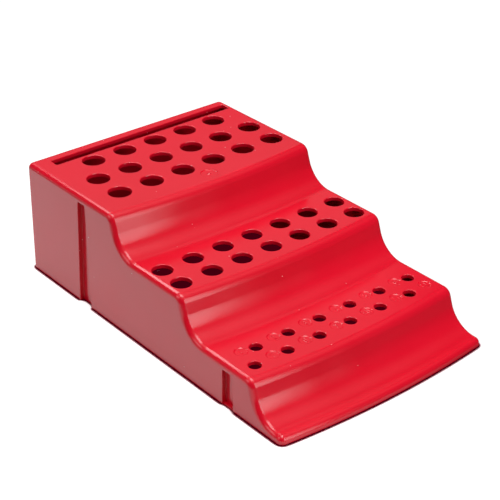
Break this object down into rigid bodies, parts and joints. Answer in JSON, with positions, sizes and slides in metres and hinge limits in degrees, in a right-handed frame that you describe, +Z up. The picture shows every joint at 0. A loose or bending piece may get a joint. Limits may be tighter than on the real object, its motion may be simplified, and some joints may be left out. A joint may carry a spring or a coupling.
{
  "type": "microcentrifuge tube rack",
  "caption": "Stepped one-piece plastic rack: three bowed decks with rows of holes hold small, hinged-lid and screw-cap sample tubes by their lids.",
  "frame": {"origin": "on the table, under the middle of the rack's outline", "axes": "+X to the right seen from the lip, +Y from the lip to the rear wall, +Z up"},
  "size_m": [0.14, 0.2266, 0.067],
  "materials": {
    "rack_plastic": "glossy moulded red, self-coloured"
  },
  "bodies": {
    "root": {"rack": "rack_plastic"}
  },
  "joints": []
}
